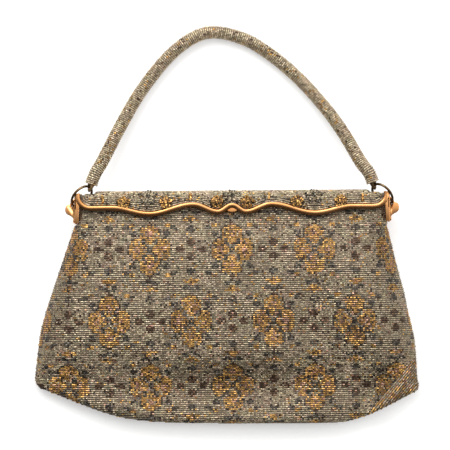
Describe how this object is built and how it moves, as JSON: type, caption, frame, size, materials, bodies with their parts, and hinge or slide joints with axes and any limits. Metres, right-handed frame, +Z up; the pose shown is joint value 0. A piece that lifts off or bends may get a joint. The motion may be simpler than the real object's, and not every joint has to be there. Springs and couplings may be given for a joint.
{
  "type": "beaded handbag",
  "caption": "Soft beaded evening handbag lying on its back, with a gilt wave-shaped frame, wire rings and a round beaded handle.",
  "frame": {"origin": "on the table under the middle of the bag's box, with the bag lying on its back", "axes": "+Z up, out of the bag's front; +Y from the bottom of the bag towards the handle; +X to the right across the front"},
  "size_m": [0.2612, 0.2707, 0.0316],
  "materials": {
    "beaded_cloth": "cloth sewn all over with rows of silver, gold and gunmetal glass seed beads",
    "handle_beads": "padded tube wound with rows of silver glass seed beads",
    "gilt": "polished warm gilt brass",
    "antique_brass": "darkened antique brass wire"
  },
  "bodies": {
    "root": {"front_pouch_cloth": "beaded_cloth", "back_pouch_cloth": "beaded_cloth", "front_top_panel": "beaded_cloth", "back_top_panel": "beaded_cloth", "front_rail": "gilt", "back_rail": "gilt", "hinge_pin_left": "gilt", "hinge_pin_right": "gilt", "ring_left": "antique_brass", "ring_right": "antique_brass", "clip_left": "antique_brass", "clip_right": "antique_brass", "handle": "handle_beads"}
  },
  "joints": []
}
